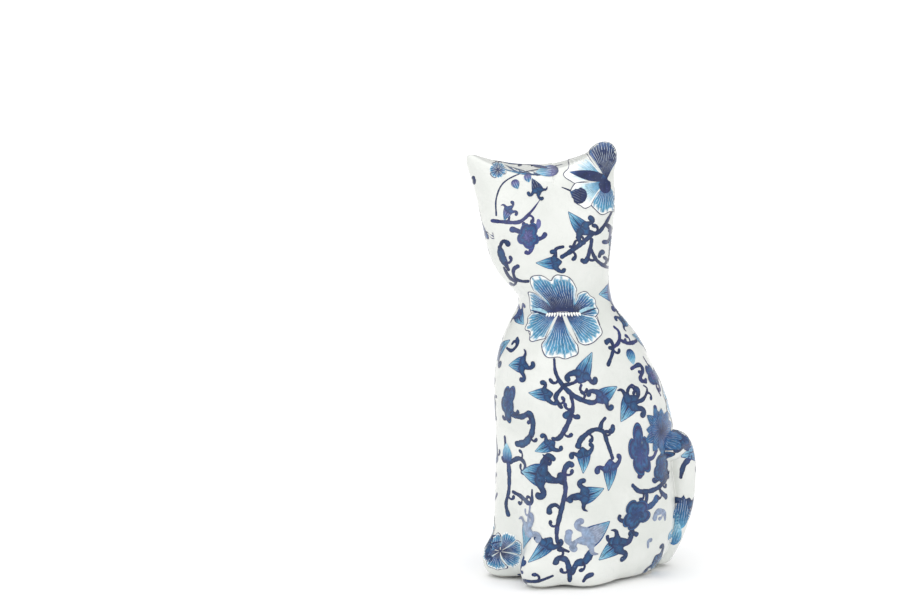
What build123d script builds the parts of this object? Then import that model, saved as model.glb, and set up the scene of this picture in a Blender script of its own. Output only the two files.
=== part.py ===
from build123d import *
import math
import os

# A sitting cat figurine in hollow glazed ceramic. It faces -Y and turns its head to its left.
# Millimetres, +Z up, origin at the bottom centre of the bounding box.

# Overall layout
PAD_HEIGHT = 1.5          # felt under the ceramic
NECK_Z = 197.0            # plane where the head joins the body
NECK_RADIUS = 28.5
NECK_Y = -13.5
WALL = 5.0                # ceramic wall
SQUARENESS = 2.5          # superellipse power of the body's level sections
SECTION_POINTS = 16

# Torso: height, middle in Y, half depth in Y, half width in X
TORSO = [
    (PAD_HEIGHT, 0.0, 48.0, 40.0),
    (8.0, 1.0, 53.0, 45.5),
    (31.0, 3.0, 58.5, 51.0),
    (63.0, 3.5, 61.0, 52.0),
    (101.0, 2.5, 61.0, 52.5),
    (125.0, -2.0, 58.5, 50.5),
    (145.0, -6.5, 54.0, 47.5),
    (165.0, -9.0, 47.5, 43.0),
    (181.0, -11.5, 37.5, 36.5),
    (NECK_Z, NECK_Y, NECK_RADIUS, NECK_RADIUS),
]

# Forelegs, paws and haunches
LEG_X = 18.0
LEG_Y = -43.0
LEG_TOP_Z = 109.0
LEG_RADIUS = 15.5
PAW_CENTRE = (19.5, -51.5, 14.0)
PAW_RADII = (16.0, 18.5, 16.0)
HAUNCH_CENTRE = (33.0, 10.0, 41.0)
HAUNCH_RADII = (23.0, 44.0, 47.0)
HIND_PAW_CENTRE = (40.0, -24.0, 8.0)
HIND_PAW_RADII = (13.0, 20.0, 11.0)

# Tail: it climbs the left rear corner and curls forward at the top
TAIL_PATH = [(28.0, 50.0, 11.0), (34.5, 57.5, 30.0), (37.5, 61.0, 55.0), (36.5, 57.5, 79.0), (39.5, 47.0, 88.0)]
TAIL_RADIUS = 9.5

# Head: height over the neck plane, middle sideways, middle away from the face, half width, half depth
HEAD = [
    (-8.0, 0.0, 0.0, 28.5, 28.5),
    (4.0, -0.5, 0.0, 29.5, 29.5),
    (20.0, -5.5, -2.0, 38.0, 34.5),
    (38.0, -7.0, -3.0, 42.5, 36.5),
    (58.0, -6.0, -1.0, 45.5, 32.5),
    (78.0, -6.5, 2.0, 47.8, 23.0),
    (103.0, -8.4, 5.0, 50.6, 10.0),
]
HEAD_TURN = 50.0          # degrees to the cat's left
HEAD_TILT = -6.0          # degrees, the crown leaning to the cat's right
CROWN_RADIUS = 94.0       # dip of the crown between the ears
CROWN_DIP = 12.0
CROWN_X = -6.0
CAVITY_TOP = 80.0         # the ears are solid above this

# Base plate, its vent and the stopper
RECESS_RADII = (36.0, 44.0)
PLATE_INSET = 1.0
PLATE_THICKNESS = 5.0
VENT_RADIUS = 7.0
STOPPER_LIP_RADIUS = 9.5
STOPPER_LIP_THICKNESS = 1.0
STOPPER_LENGTH = 8.0
PAD_RADIUS = 5.0
PAD_PLACES = [(19.5, -52.0), (-19.5, -52.0), (36.5, 28.0), (-36.5, 28.0)]


def level_section(z, mid_x, mid_y, half_x, half_y):
    """A superellipse at height z."""
    points = []
    for step in range(SECTION_POINTS):
        angle = 2 * math.pi * step / SECTION_POINTS
        c, s = math.cos(angle), math.sin(angle)
        x = math.copysign(abs(c) ** (2 / SQUARENESS), c) * half_x
        y = math.copysign(abs(s) ** (2 / SQUARENESS), s) * half_y
        points.append((mid_x + x, mid_y + y, z))
    return Face(Wire([Edge.make_spline([Vector(*p) for p in points], periodic=True)]))


def ellipsoid(centre, radii):
    return Pos(*centre) * scale(Sphere(1), by=radii)


def torso(inset=0.0):
    """The trunk as a loft; an inset gives the cavity, open at the neck and the foot."""
    sections = [level_section(z, 0, y, half_x - inset, half_y - inset) for z, y, half_y, half_x in TORSO]
    return loft(sections)


def foreleg(side):
    column = Pos(side * LEG_X, LEG_Y, 0) * Cylinder(
        LEG_RADIUS, LEG_TOP_Z, align=(Align.CENTER, Align.CENTER, Align.MIN)
    )
    shoulder = ellipsoid((side * LEG_X, LEG_Y, LEG_TOP_Z), (LEG_RADIUS, LEG_RADIUS, 2 * LEG_RADIUS))
    return column + shoulder + ellipsoid((side * PAW_CENTRE[0], *PAW_CENTRE[1:]), PAW_RADII)


def hind_leg(side):
    haunch = ellipsoid((side * HAUNCH_CENTRE[0], *HAUNCH_CENTRE[1:]), HAUNCH_RADII)
    return haunch + ellipsoid((side * HIND_PAW_CENTRE[0], *HIND_PAW_CENTRE[1:]), HIND_PAW_RADII)


def above(z):
    return Pos(0, 0, z) * Box(400, 400, 400, align=(Align.CENTER, Align.CENTER, Align.MIN))


def body_outside():
    whole = torso()
    for side in (1, -1):
        whole = whole + foreleg(side) + hind_leg(side)
    return whole & above(PAD_HEIGHT)


def recess(depth):
    return extrude(Plane.XY * Ellipse(*RECESS_RADII), depth)


def body_shell(outside):
    plate_top = PAD_HEIGHT + PLATE_INSET + PLATE_THICKNESS
    cavity = torso(inset=WALL) & above(plate_top)
    return outside - cavity - recess(plate_top)


def base_plate():
    plate = Pos(0, 0, PAD_HEIGHT + PLATE_INSET) * recess(PLATE_THICKNESS)
    return plate - Cylinder(VENT_RADIUS, 40)


def vent_stopper():
    bottom = PAD_HEIGHT + PLATE_INSET
    low = (Align.CENTER, Align.CENTER, Align.MIN)
    lip = Pos(0, 0, bottom - STOPPER_LIP_THICKNESS) * Cylinder(
        STOPPER_LIP_RADIUS, STOPPER_LIP_THICKNESS, align=low
    )
    return lip + Pos(0, 0, bottom) * Cylinder(VENT_RADIUS, STOPPER_LENGTH, align=low)


def felt_pads():
    low = (Align.CENTER, Align.CENTER, Align.MIN)
    return Compound([Pos(x, y, 0) * Cylinder(PAD_RADIUS, PAD_HEIGHT, align=low) for x, y in PAD_PLACES])


def place_head(shape):
    """Turn and tilt a shape made upright over the origin and set it on the neck."""
    return Pos(0, NECK_Y, NECK_Z) * Rot(0, 0, HEAD_TURN) * Rot(0, HEAD_TILT, 0) * shape


def head_loft(inset=0.0, top=HEAD[-1][0]):
    sections = []
    for z, mid_x, mid_y, half_x, half_y in HEAD:
        if z > top:
            break
        sections.append(level_section(z, mid_x, mid_y, half_x - inset, half_y - inset))
    return loft(sections)


def head_shell():
    top = HEAD[-1][0]
    scoop = Pos(CROWN_X, 0, top - CROWN_DIP + CROWN_RADIUS) * Rot(90, 0, 0) * Cylinder(CROWN_RADIUS, 120)
    outside = head_loft() - scoop
    cavity = head_loft(inset=WALL, top=CAVITY_TOP)
    return place_head(outside - cavity) & above(NECK_Z)


def tail(outside):
    path = Spline(*TAIL_PATH)
    start = Plane(origin=path @ 0, z_dir=path % 0)
    roll = sweep(start * Circle(TAIL_RADIUS), path)
    tip = Pos(*TAIL_PATH[-1]) * Sphere(TAIL_RADIUS)
    return (roll + tip) - outside


def write(shape, node, centre_y):
    """Save a node, with the whole figurine's box centred over the origin."""
    export_step(Pos(0, -centre_y, 0) * shape, f"parts/{node}.step")


def main():
    os.makedirs("parts", exist_ok=True)
    outside = body_outside()
    rear = tail(outside)
    centre_y = (outside.bounding_box().min.Y + rear.bounding_box().max.Y) / 2
    write(body_shell(outside), "body_shell", centre_y)
    write(head_shell(), "head_shell", centre_y)
    write(rear, "tail", centre_y)
    write(base_plate(), "base_plate", centre_y)
    write(vent_stopper(), "vent_stopper", centre_y)
    write(felt_pads(), "felt_pads", centre_y)


main()
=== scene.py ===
"""Looks of the sitting ceramic cat: a smooth glazed skin and the blue floral print laid over it."""
import math
import random

import bpy
import numpy as np
import openvdb
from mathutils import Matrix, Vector
from mathutils.kdtree import KDTree


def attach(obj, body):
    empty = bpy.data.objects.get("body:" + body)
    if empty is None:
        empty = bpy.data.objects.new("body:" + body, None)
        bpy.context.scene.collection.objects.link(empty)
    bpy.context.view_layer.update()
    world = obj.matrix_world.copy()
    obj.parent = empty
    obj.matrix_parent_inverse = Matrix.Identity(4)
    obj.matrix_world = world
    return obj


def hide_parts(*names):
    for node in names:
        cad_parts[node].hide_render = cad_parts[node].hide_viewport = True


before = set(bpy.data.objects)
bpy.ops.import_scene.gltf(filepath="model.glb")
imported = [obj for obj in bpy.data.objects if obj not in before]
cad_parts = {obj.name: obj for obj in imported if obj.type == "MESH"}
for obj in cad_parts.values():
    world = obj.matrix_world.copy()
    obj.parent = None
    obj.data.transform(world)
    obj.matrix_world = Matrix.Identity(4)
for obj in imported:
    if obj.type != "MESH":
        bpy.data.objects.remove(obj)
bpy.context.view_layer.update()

# ---------------------------------------------------------------------------------------------
# The cat's shape as a distance field, in millimetres, with the frame's own axes and origin
# ---------------------------------------------------------------------------------------------
MM = 0.001
FLOOR_GAP = 1.5           # the ceramic stands this high, on its felt pads
SHIFT_Y = -0.32           # the frame's centre, from the trunk's own origin
NECK_Z = 197.0
NECK_Y = -13.5
HEAD_TURN = math.radians(50.0)
HEAD_TILT = math.radians(-6.0)

# Trunk: height, middle in Y, half depth, half width
TRUNK = np.array([
    (-6.0, 0.0, 40.0, 32.0),
    (1.5, 0.0, 48.0, 40.0),
    (8.0, 1.0, 53.0, 45.5),
    (31.0, 3.0, 58.0, 50.5),
    (63.0, 4.0, 60.5, 51.5),
    (101.0, 4.0, 61.5, 52.0),
    (125.0, -0.5, 59.5, 50.0),
    (145.0, -5.5, 54.5, 47.0),
    (165.0, -9.0, 47.0, 42.5),
    (180.0, -11.5, 38.0, 37.0),
    (192.0, -13.0, 30.5, 30.5),
    (202.0, -13.5, 26.5, 26.5),
    (214.0, -14.0, 22.0, 22.0),
])
TRUNK_POWER = 2.5

# Head: height over the neck plane, middle sideways, middle away from the face, half width, half depth
HEAD = np.array([
    (-14.0, 0.5, 0.0, 24.0, 24.0),
    (-4.0, 0.3, 0.0, 26.5, 26.5),
    (4.0, -1.0, -0.5, 29.8, 29.5),
    (12.0, -3.2, -1.2, 34.0, 32.0),
    (24.0, -6.0, -2.0, 39.0, 34.2),
    (40.0, -7.0, -2.5, 43.0, 34.5),
    (58.0, -6.2, -1.0, 46.0, 31.5),
    (78.0, -6.3, 2.0, 48.2, 25.0),
    (104.0, -7.7, 5.0, 51.6, 15.5),
    (112.0, -8.1, 6.0, 52.2, 13.5),
])
EAR_TIP = (11.6, 9.6, 296.0)          # the rounder, taller of the two ears
EAR_RADII = (8.2, 8.2, 8.4)
CROWN_HEIGHT = 108.0
CROWN_RADIUS = 88.0
CROWN_DIP = 15.5
CROWN_X = -6.0            # the lowest point of the crown, sideways from the head's middle
NUDGE = 0.4               # the step that slopes of the field are taken over


def smooth_table(table, heights):
    """A table's columns at the given heights, on monotone-looking cubic curves."""
    z = table[:, 0]
    rows = table[:, 1:]
    slope = np.gradient(rows, z, axis=0)
    h = np.clip(heights, z[0], z[-1])
    i = np.clip(np.searchsorted(z, h) - 1, 0, len(z) - 2)
    step = (z[i + 1] - z[i])[:, None]
    t = ((h - z[i]) / (z[i + 1] - z[i]))[:, None]
    a = (1 + 2 * t) * (1 - t) ** 2 * rows[i] + t * (1 - t) ** 2 * step * slope[i]
    b = t * t * (3 - 2 * t) * rows[i + 1] + t * t * (t - 1) * step * slope[i + 1]
    return (a + b).T


def smooth_min(a, b, k):
    h = np.clip(0.5 + 0.5 * (b - a) / k, 0, 1)
    return b + (a - b) * h - k * h * (1 - h)


def smooth_max(a, b, k):
    return -smooth_min(-a, -b, k)


def ellipsoid(p, centre, radii):
    q = (p - np.array(centre)) / np.array(radii)
    k0 = np.linalg.norm(q, axis=1)
    k1 = np.linalg.norm(q / np.array(radii), axis=1)
    return k0 * (k0 - 1) / np.maximum(k1, 1e-6)


def capsule(p, a, b, ra, rb):
    a, b = np.array(a, float), np.array(b, float)
    ab = b - a
    t = np.clip(((p - a) @ ab) / (ab @ ab), 0, 1)
    return np.linalg.norm(p - a - t[:, None] * ab, axis=1) - (ra + (rb - ra) * t)


def level_section(x, y, half_x, half_y, power):
    rho = (np.abs(x / half_x) ** power + np.abs(y / half_y) ** power) ** (1 / power)
    radius = np.hypot(x, y)
    return radius * (1 - 1 / np.maximum(rho, 1e-4))


def trunk(p):
    mid_y, half_y, half_x = smooth_table(TRUNK, p[:, 2])
    d = level_section(p[:, 0], p[:, 1] - mid_y, half_x, half_y, TRUNK_POWER) * 0.9
    return smooth_max(d, p[:, 2] - TRUNK[-1, 0], 3.0)


def head_axes():
    """Right, back and up of the turned and tilted head, as seen by someone facing it."""
    ct, st = math.cos(HEAD_TURN), math.sin(HEAD_TURN)
    right = np.array([ct, st, 0.0])
    back = np.array([-st, ct, 0.0])
    up = np.array([0.0, 0.0, 1.0])
    c, s = math.cos(HEAD_TILT), math.sin(HEAD_TILT)
    return c * right - s * up, back, s * right + c * up


def head(p):
    right, back, up = head_axes()
    q = p - np.array([0, NECK_Y, NECK_Z])
    x, y, h = q @ right, q @ back, q @ up
    mid_x, mid_y, half_x, half_y = smooth_table(HEAD, h)
    xs, ys = x - mid_x, y - mid_y
    # the back of the head is a little squarer than the face
    front = level_section(xs, ys, half_x, half_y, 2.0)
    rear = level_section(xs, ys, half_x, half_y, 2.2)
    d = np.where(ys < 0, front, rear) * 0.9
    crown = CROWN_RADIUS - np.hypot(x - CROWN_X, h - (CROWN_HEIGHT - CROWN_DIP + CROWN_RADIUS))
    d = smooth_max(d, crown, np.where(x > 0, 13.0, 9.0))
    d = smooth_min(d, ellipsoid(p, EAR_TIP, EAR_RADII), 7.0)
    return smooth_max(d, -(h + 12.0), 2.0)


TAIL = np.array([
    (28.0, 48.0, 6.0, 9.0),
    (33.0, 55.5, 24.0, 9.4),
    (37.0, 60.0, 44.0, 9.4),
    (38.5, 61.5, 63.0, 9.4),
    (38.0, 60.0, 79.0, 9.8),
    (38.5, 55.0, 87.5, 10.4),
    (41.0, 47.0, 89.0, 10.6),
])


def curve_through(points, steps):
    """Points along a Catmull-Rom curve through the given ones, any number of columns."""
    points = np.asarray(points, float)
    padded = np.vstack([2 * points[0] - points[1], points, 2 * points[-1] - points[-2]])
    t = np.linspace(0, len(points) - 1, steps)
    i = np.minimum(t.astype(int), len(points) - 2)
    f = (t - i)[:, None]
    a, b, c, d = padded[i], padded[i + 1], padded[i + 2], padded[i + 3]
    return 0.5 * (2 * b + (c - a) * f + (2 * a - 5 * b + 4 * c - d) * f**2 + (3 * b - a - 3 * c + d) * f**3)


TAIL_LINE = curve_through(TAIL, 19)


def tail(p):
    d = np.full(len(p), 1e3)
    for a, b in zip(TAIL_LINE, TAIL_LINE[1:]):
        d = np.minimum(d, capsule(p, a[:3], b[:3], a[3], b[3]))
    return smooth_max(d, FLOOR_GAP + 1.0 - p[:, 2], 3.0)


def body(p):
    d = trunk(p)
    for x in (1, -1):
        d = smooth_min(d, capsule(p, (x * 18, -43, 16), (x * 16, -39, 108), 16.0, 13.0), 9.0)
        d = smooth_min(d, ellipsoid(p, (x * 19.5, -51, 12.5), (15, 17, 15)), 10.0)
        d = smooth_min(d, ellipsoid(p, (x * 33, 10, 41), (22.5, 44, 47)), 10.0)
        d = smooth_min(d, ellipsoid(p, (x * 39, -24, 9), (12.5, 19, 12)), 10.0)
        # furrow between foreleg and flank
        d = smooth_max(d, -capsule(p, (x * 41, -57, 30), (x * 42, -60, 96), 6.5, 3.0), 7.0)
    # furrow between the forelegs
    d = smooth_max(d, -capsule(p, (3, -66, 8), (2, -66, 102), 7.5, 3.0), 7.0)
    return smooth_max(d, FLOOR_GAP - p[:, 2], 2.5)


def cat(p):
    q = p - np.array([0, SHIFT_Y, 0])
    d = smooth_min(body(q), head(q), 9.0)
    return smooth_min(d, tail(q), 1.6)


def differences(p):
    """How much the field grows from NUDGE before each point to NUDGE after it, along X, Y and Z."""
    return np.stack([cat(p + e) - cat(p - e) for e in np.eye(3) * NUDGE], 1)


def normals(p):
    g = differences(p)
    return g / np.linalg.norm(g, axis=1)[:, None]


def settle(p):
    """Move points onto the surface along its slope."""
    for _ in range(3):
        g = differences(p) / (2 * NUDGE)
        p = p - g * (cat(p) / np.maximum((g * g).sum(1), 0.05))[:, None]
    return p


# ---------------------------------------------------------------------------------------------
# Skin
# ---------------------------------------------------------------------------------------------
GRID = 1.25    # spacing of the skin's mesh


def skin_mesh():
    """The whole surface as quads, settled on the field."""
    low = np.array([-62.0, -78.0, -3.0])
    counts = np.ceil((np.array([62.0, 78.0, 312.0]) - low) / GRID).astype(int)
    axes = [low[i] + GRID * np.arange(counts[i]) for i in range(3)]
    values = np.empty(counts, np.float32)
    for k, z in enumerate(axes[2]):
        x, y = np.meshgrid(axes[0], axes[1], indexing="ij")
        points = np.stack([x.ravel(), y.ravel(), np.full(x.size, z)], 1)
        values[:, :, k] = cat(points).reshape(x.shape)
    grid = openvdb.FloatGrid(5.0)
    grid.copyFromArray(np.clip(values, -5, 5))
    points, quads = grid.convertToQuads(0.0)
    points = low + GRID * np.asarray(points, float)
    quads = np.asarray(quads, int)
    return settle(points), quads


def parts_of(points):
    """Which piece each point belongs to: 0 body, 1 head, 2 tail."""
    q = points - np.array([0, SHIFT_Y, 0])
    part = np.where(points[:, 2] > NECK_Z, 1, 0)
    return np.where(tail(q) < body(q) - 0.3, 2, part)


def make_object(name, points, faces, material, point_normals=None):
    mesh = bpy.data.meshes.new(name)
    mesh.from_pydata((points * MM).tolist(), [], [list(f) for f in faces])
    mesh.update()
    for polygon in mesh.polygons:
        polygon.use_smooth = True
    if point_normals is not None:
        mesh.normals_split_custom_set_from_vertices(point_normals.tolist())
    obj = bpy.data.objects.new(name, mesh)
    bpy.context.scene.collection.objects.link(obj)
    mesh.materials.append(material)
    return obj


def build_skin(material):
    points, quads = skin_mesh()
    normal = normals(points)
    a, b, c = points[quads[:, 0]], points[quads[:, 1]], points[quads[:, 2]]
    facing = (np.cross(b - a, c - a) * normal[quads[:, 0]]).sum(1)
    if (facing < 0).mean() > 0.5:
        quads = quads[:, ::-1]
    part = parts_of(points[quads].mean(1))
    pieces = {}
    for index, name in enumerate(("body_glaze", "head_glaze", "tail_glaze")):
        chosen = quads[part == index]
        used, renumbered = np.unique(chosen, return_inverse=True)
        faces = renumbered.reshape(chosen.shape)
        pieces[name] = make_object(name, points[used], faces, material, normal[used])
    return pieces


# ---------------------------------------------------------------------------------------------
# The print: flat shapes drawn in millimetres, then laid on the skin
# ---------------------------------------------------------------------------------------------
def ink(r, g, b):
    """A print colour given in display values, as linear light."""
    return np.array([((c / 255 + 0.055) / 1.055) ** 2.4 for c in (r, g, b)])


NAVY = ink(14, 34, 78)
INDIGO = ink(36, 42, 94)
COBALT = ink(16, 62, 114)
BLUE = ink(28, 94, 140)
SKY = ink(76, 144, 176)
PALE = ink(154, 196, 212)
LILAC = ink(88, 90, 142)
GREY = ink(130, 141, 163)
PAPER = ink(238, 239, 235)
OUTLINE = ink(44, 48, 84)


def blend_inks(stops, t):
    """Colours along t from (position, ink) stops."""
    places = [s[0] for s in stops]
    return np.stack([np.interp(t, places, [s[1][k] for s in stops]) for k in range(3)], -1)


class Patch:
    """A grid of flat points with its colours and the direction and strength of its fine lines."""

    def __init__(self, xy, colour, across=None, along=None, lines=0.0):
        self.xy = xy
        self.colour = np.broadcast_to(colour, xy.shape[:2] + (3,)).copy()
        zero = np.zeros(xy.shape[:2])
        across = zero if across is None else across
        along = zero if along is None else along
        self.grain = np.stack([across, along, zero + lines], -1)

    def moved(self, place=(0, 0), turn=0.0, size=1.0):
        xy = self.xy * size
        a = math.radians(turn)
        c, s = math.cos(a), math.sin(a)
        other = Patch(xy @ np.array([[c, s], [-s, c]]) + np.array(place), self.colour)
        other.grain = self.grain.copy()
        other.grain[..., 0] *= size
        return other


def moved(patches, **how):
    return [p.moved(**how) for p in patches]


def stroke(points, widths, colour=NAVY, end_colour=None):
    """A brush line through points; widths are half widths at even steps along it, with round ends."""
    points = np.asarray(points, float)
    rough = curve_through(points, 40)
    length = np.linalg.norm(np.diff(rough, axis=0), axis=1).sum()
    steps = max(8, int(length / 1.0))
    line = curve_through(points, steps * 2)
    run = np.concatenate([[0], np.cumsum(np.linalg.norm(np.diff(line, axis=0), axis=1))])
    at = np.linspace(0, run[-1], steps + 1)
    widest = max(widths)
    cap = np.array([0.06, 0.2, 0.45, 0.75]) * widest
    at = np.unique(np.concatenate([at, cap, run[-1] - cap]))
    line = np.stack([np.interp(at, run, line[:, 0]), np.interp(at, run, line[:, 1])], 1)
    t = at / run[-1]
    half = np.interp(t, np.linspace(0, 1, len(widths)), widths)
    hand = at + 3.7 * (line[0, 0] + line[0, 1])
    half = half * (1 + 0.09 * np.sin(0.8 * hand) + 0.05 * np.sin(2.1 * hand))
    edge = np.minimum(at, run[-1] - at) / np.maximum(half, 1e-6)
    half = half * np.sqrt(np.clip(1 - (1 - np.clip(edge, 0, 1)) ** 2, 0.0, 1))
    tangent = np.gradient(line, axis=0)
    tangent /= np.linalg.norm(tangent, axis=1)[:, None] + 1e-9
    side = np.stack([-tangent[:, 1], tangent[:, 0]], 1)
    across = np.linspace(-1, 1, 5)
    xy = line[:, None] + side[:, None] * (across[None, :, None] * half[:, None, None])
    shade = blend_inks([(0, colour), (1, colour if end_colour is None else end_colour)], t)[:, None]
    # thick parts are filled with a clearer blue inside a dark edge
    core = (1 - np.abs(across))[None, :] ** 0.7 * np.clip((half - 1.1) / 1.6, 0, 1)[:, None]
    return Patch(xy, shade + (BLUE - NAVY) * (0.55 * core[..., None]))


def hook(root, heading, side, size=1.0, colour=NAVY):
    """A comma that leaves a stem at root, curls over to one side and ends in a round bud."""
    turn = math.radians(heading) + side * np.radians(np.linspace(35, 235, 9))
    step = size * np.linspace(1.7, 0.75, 9)
    path = np.cumsum(np.stack([step * np.cos(turn), step * np.sin(turn)], 1), axis=0)
    return stroke(np.vstack([[0, 0], path]) + root, size * np.array([1.3, 1.1, 1.0, 1.2, 1.8, 1.9]), colour)


PETAL_STOPS = [(0, NAVY), (0.3, NAVY), (0.48, COBALT), (0.68, BLUE), (0.90, SKY), (0.93, PAPER), (1, PAPER)]
LOWER_STOPS = [(0, NAVY), (0.08, NAVY), (0.22, COBALT), (0.45, BLUE), (0.90, SKY), (0.93, PAPER), (1, PAPER)]
DARK_STOPS = [(0, NAVY), (0.75, NAVY), (0.9, COBALT), (1, BLUE)]
WHITE_STOPS = [(0, COBALT), (0.15, BLUE), (0.35, SKY), (0.58, PALE), (0.8, PAPER), (1, PAPER)]


def petal(length, half_angle, notch=0.0, waves=2.5, stops=None, seed=0, outline=True, start=0.0):
    """A fan-shaped petal with a wavy white rim, drawn upwards from start times its length."""
    wobble = random.Random(seed)
    phase = wobble.uniform(0, 6.28)
    s = np.linspace(-1, 1, 29)
    t = np.array([0, 0.12, 0.24, 0.36, 0.48, 0.6, 0.70, 0.78, 0.83, 0.87, 0.92, 0.96, 1.0])
    rim = 1 - (0.20 + 0.30 * start) * (1 - start) * s**4
    rim = rim + 0.035 * (1 - start) * np.sin(waves * math.pi * s + phase) - notch * np.exp(-((s / 0.16) ** 2))
    rim += 0.018 * (1 - start) * np.sin(9 * s + 2 * phase)
    angle = np.radians(half_angle) * s
    spread = 0.70 + 0.30 * t**0.7
    bearing = angle[None, :] * spread[:, None]
    reach = length * (start + (rim[None, :] - start) * t[:, None])
    xy = np.stack([reach * np.sin(bearing), reach * np.cos(bearing)], -1)
    fringe = 0.04 * np.sin(23 * s + phase) + 0.03 * np.sin(41 * s)
    shade = t[:, None] + fringe[None, :] * (t[:, None] > 0.5)
    # the white rim runs down both sides too
    side = np.clip((np.abs(s) - 0.87) / 0.09, 0, 1)[None, :]
    side = side * np.clip((t[:, None] - 0.30) / 0.25, 0, 1)
    shade = np.maximum(shade, 0.84 * (side > 0) + 0.11 * side)
    colour = blend_inks(stops or PETAL_STOPS, np.clip(shade, 0, 1))
    across = np.broadcast_to(s * np.radians(half_angle) * length * 0.7, xy.shape[:2])
    patches = [Patch(xy, colour, across, np.broadcast_to(t[:, None], xy.shape[:2]), lines=1.0)]
    if outline:
        edge = np.concatenate([xy[4:, 0], xy[-1, 1:-1], xy[4:, -1][::-1]])
        patches.append(stroke(edge[::2], [0.05, 0.22, 0.3, 0.26, 0.34, 0.26, 0.05], OUTLINE))
    return patches


def pointed(length, half_width, stops, lines=0.8, teeth=0.0, belly=0.42):
    """A leaf blade from its foot at the origin up to a point."""
    t = np.linspace(0, 1, 15)
    s = np.linspace(-1, 1, 9)
    profile = np.sin(math.pi * np.clip(t, 0, 1) ** (math.log(0.5) / math.log(belly))) ** 0.85
    profile = half_width * np.maximum(profile, 0.0) + half_width * 0.35 * (1 - t) * (t < 0.999)
    profile *= 1 + teeth * np.sign(np.sin(t * 26)) * (t > 0.45)
    xy = np.stack([s[None, :] * profile[:, None], np.broadcast_to(length * t[:, None], (15, 9))], -1)
    colour = blend_inks(stops, np.broadcast_to(t[:, None], (15, 9)))
    return Patch(xy, colour, xy[..., 0].copy(), np.broadcast_to(t[:, None], (15, 9)), lines)


LEAF_STOPS = [(0, NAVY), (0.14, COBALT), (0.32, BLUE), (0.6, SKY), (1, PALE)]
VIOLET_STOPS = [(0, INDIGO), (0.35, LILAC), (0.7, BLUE), (1, SKY)]
GREY_STOPS = [(0, GREY), (0.5, GREY), (0.8, SKY), (1, PALE)]


def blade(length, half_width, stops, bend=0.14):
    """The pale triangular end of a leaf, from its wide foot to a bent point."""
    t = np.linspace(0, 1, 10)
    s = np.linspace(-1, 1, 7)
    half = half_width * (1 - t**1.5) * (1 + 0.05 * np.sin(21 * t)) + 0.12
    x = s[None, :] * half[:, None] + bend * length * (t**2)[:, None]
    y = length * (t[:, None] - 0.06 * np.abs(s)[None, :] * (1 - t)[:, None])
    colour = blend_inks(stops, np.broadcast_to(t[:, None] * 0.92 + 0.08 * s[None, :] ** 2, x.shape))
    return [
        Patch(np.stack([x, y], -1), colour, x.copy(), np.broadcast_to(t[:, None], x.shape), 0.5),
        stroke(np.stack([x[:, 0], y[:, 0]], 1)[::3], [0.5, 0.35, 0.2, 0.2], COBALT),
        stroke(np.stack([x[:, -1], y[:, -1]], 1)[::3], [0.5, 0.35, 0.2, 0.2], COBALT),
    ]


def bell_leaf(dark=NAVY, stops=None, reach=1.0):
    """A dark cup with two curling horns and a pale striped point, about 22 mm from stem to point."""
    return [
        *moved(blade(16.0 * reach, 5.4, stops or LEAF_STOPS), place=(0, 3.5)),
        stroke([(0, -3.0), (0.2, 1.0), (0.3, 5.5)], [1.4, 3.6, 4.6, 2.2], dark),
        stroke([(-0.5, 3.5), (-4.8, 2.6), (-8.0, -0.6), (-7.6, -3.4), (-5.4, -3.4)],
               [4.0, 3.0, 1.8, 1.5, 2.0, 2.0], dark),
        stroke([(0.5, 3.5), (4.8, 3.2), (8.6, 1.4), (9.8, 4.0), (8.2, 5.8)],
               [4.0, 3.0, 1.7, 1.4, 2.0, 2.0], dark),
        stroke([(0.2, 6), (0.8, 11), (2.0, 17.5 * reach)], [0.6, 0.3, 0.1], dark),
    ]


def star_leaf(dark=NAVY, stops=None):
    """Three thick dark horns round a pale point."""
    return [
        *moved(blade(14.5, 6.0, stops or LEAF_STOPS, -0.12), place=(0, 1.5)),
        stroke([(0, 5.0), (0, -0.5), (-1.8, -5.6), (0.4, -9.0), (3.0, -7.6)],
               [3.8, 4.2, 2.6, 1.5, 1.8, 2.1], dark),
        stroke([(0, 2), (-5.2, 1.2), (-9.0, -1.2), (-11.2, 1.2), (-9.6, 3.4)],
               [4.0, 3.4, 2.0, 1.4, 2.0, 2.0], dark),
        stroke([(0, 2), (5.0, 0.2), (9.0, -0.8), (11.4, 1.8)], [4.0, 3.0, 1.7, 1.0, 0.3], dark),
        stroke([(0.2, 4), (-0.4, 9), (-1.4, 14)], [0.7, 0.35, 0.1], dark),
    ]


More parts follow.
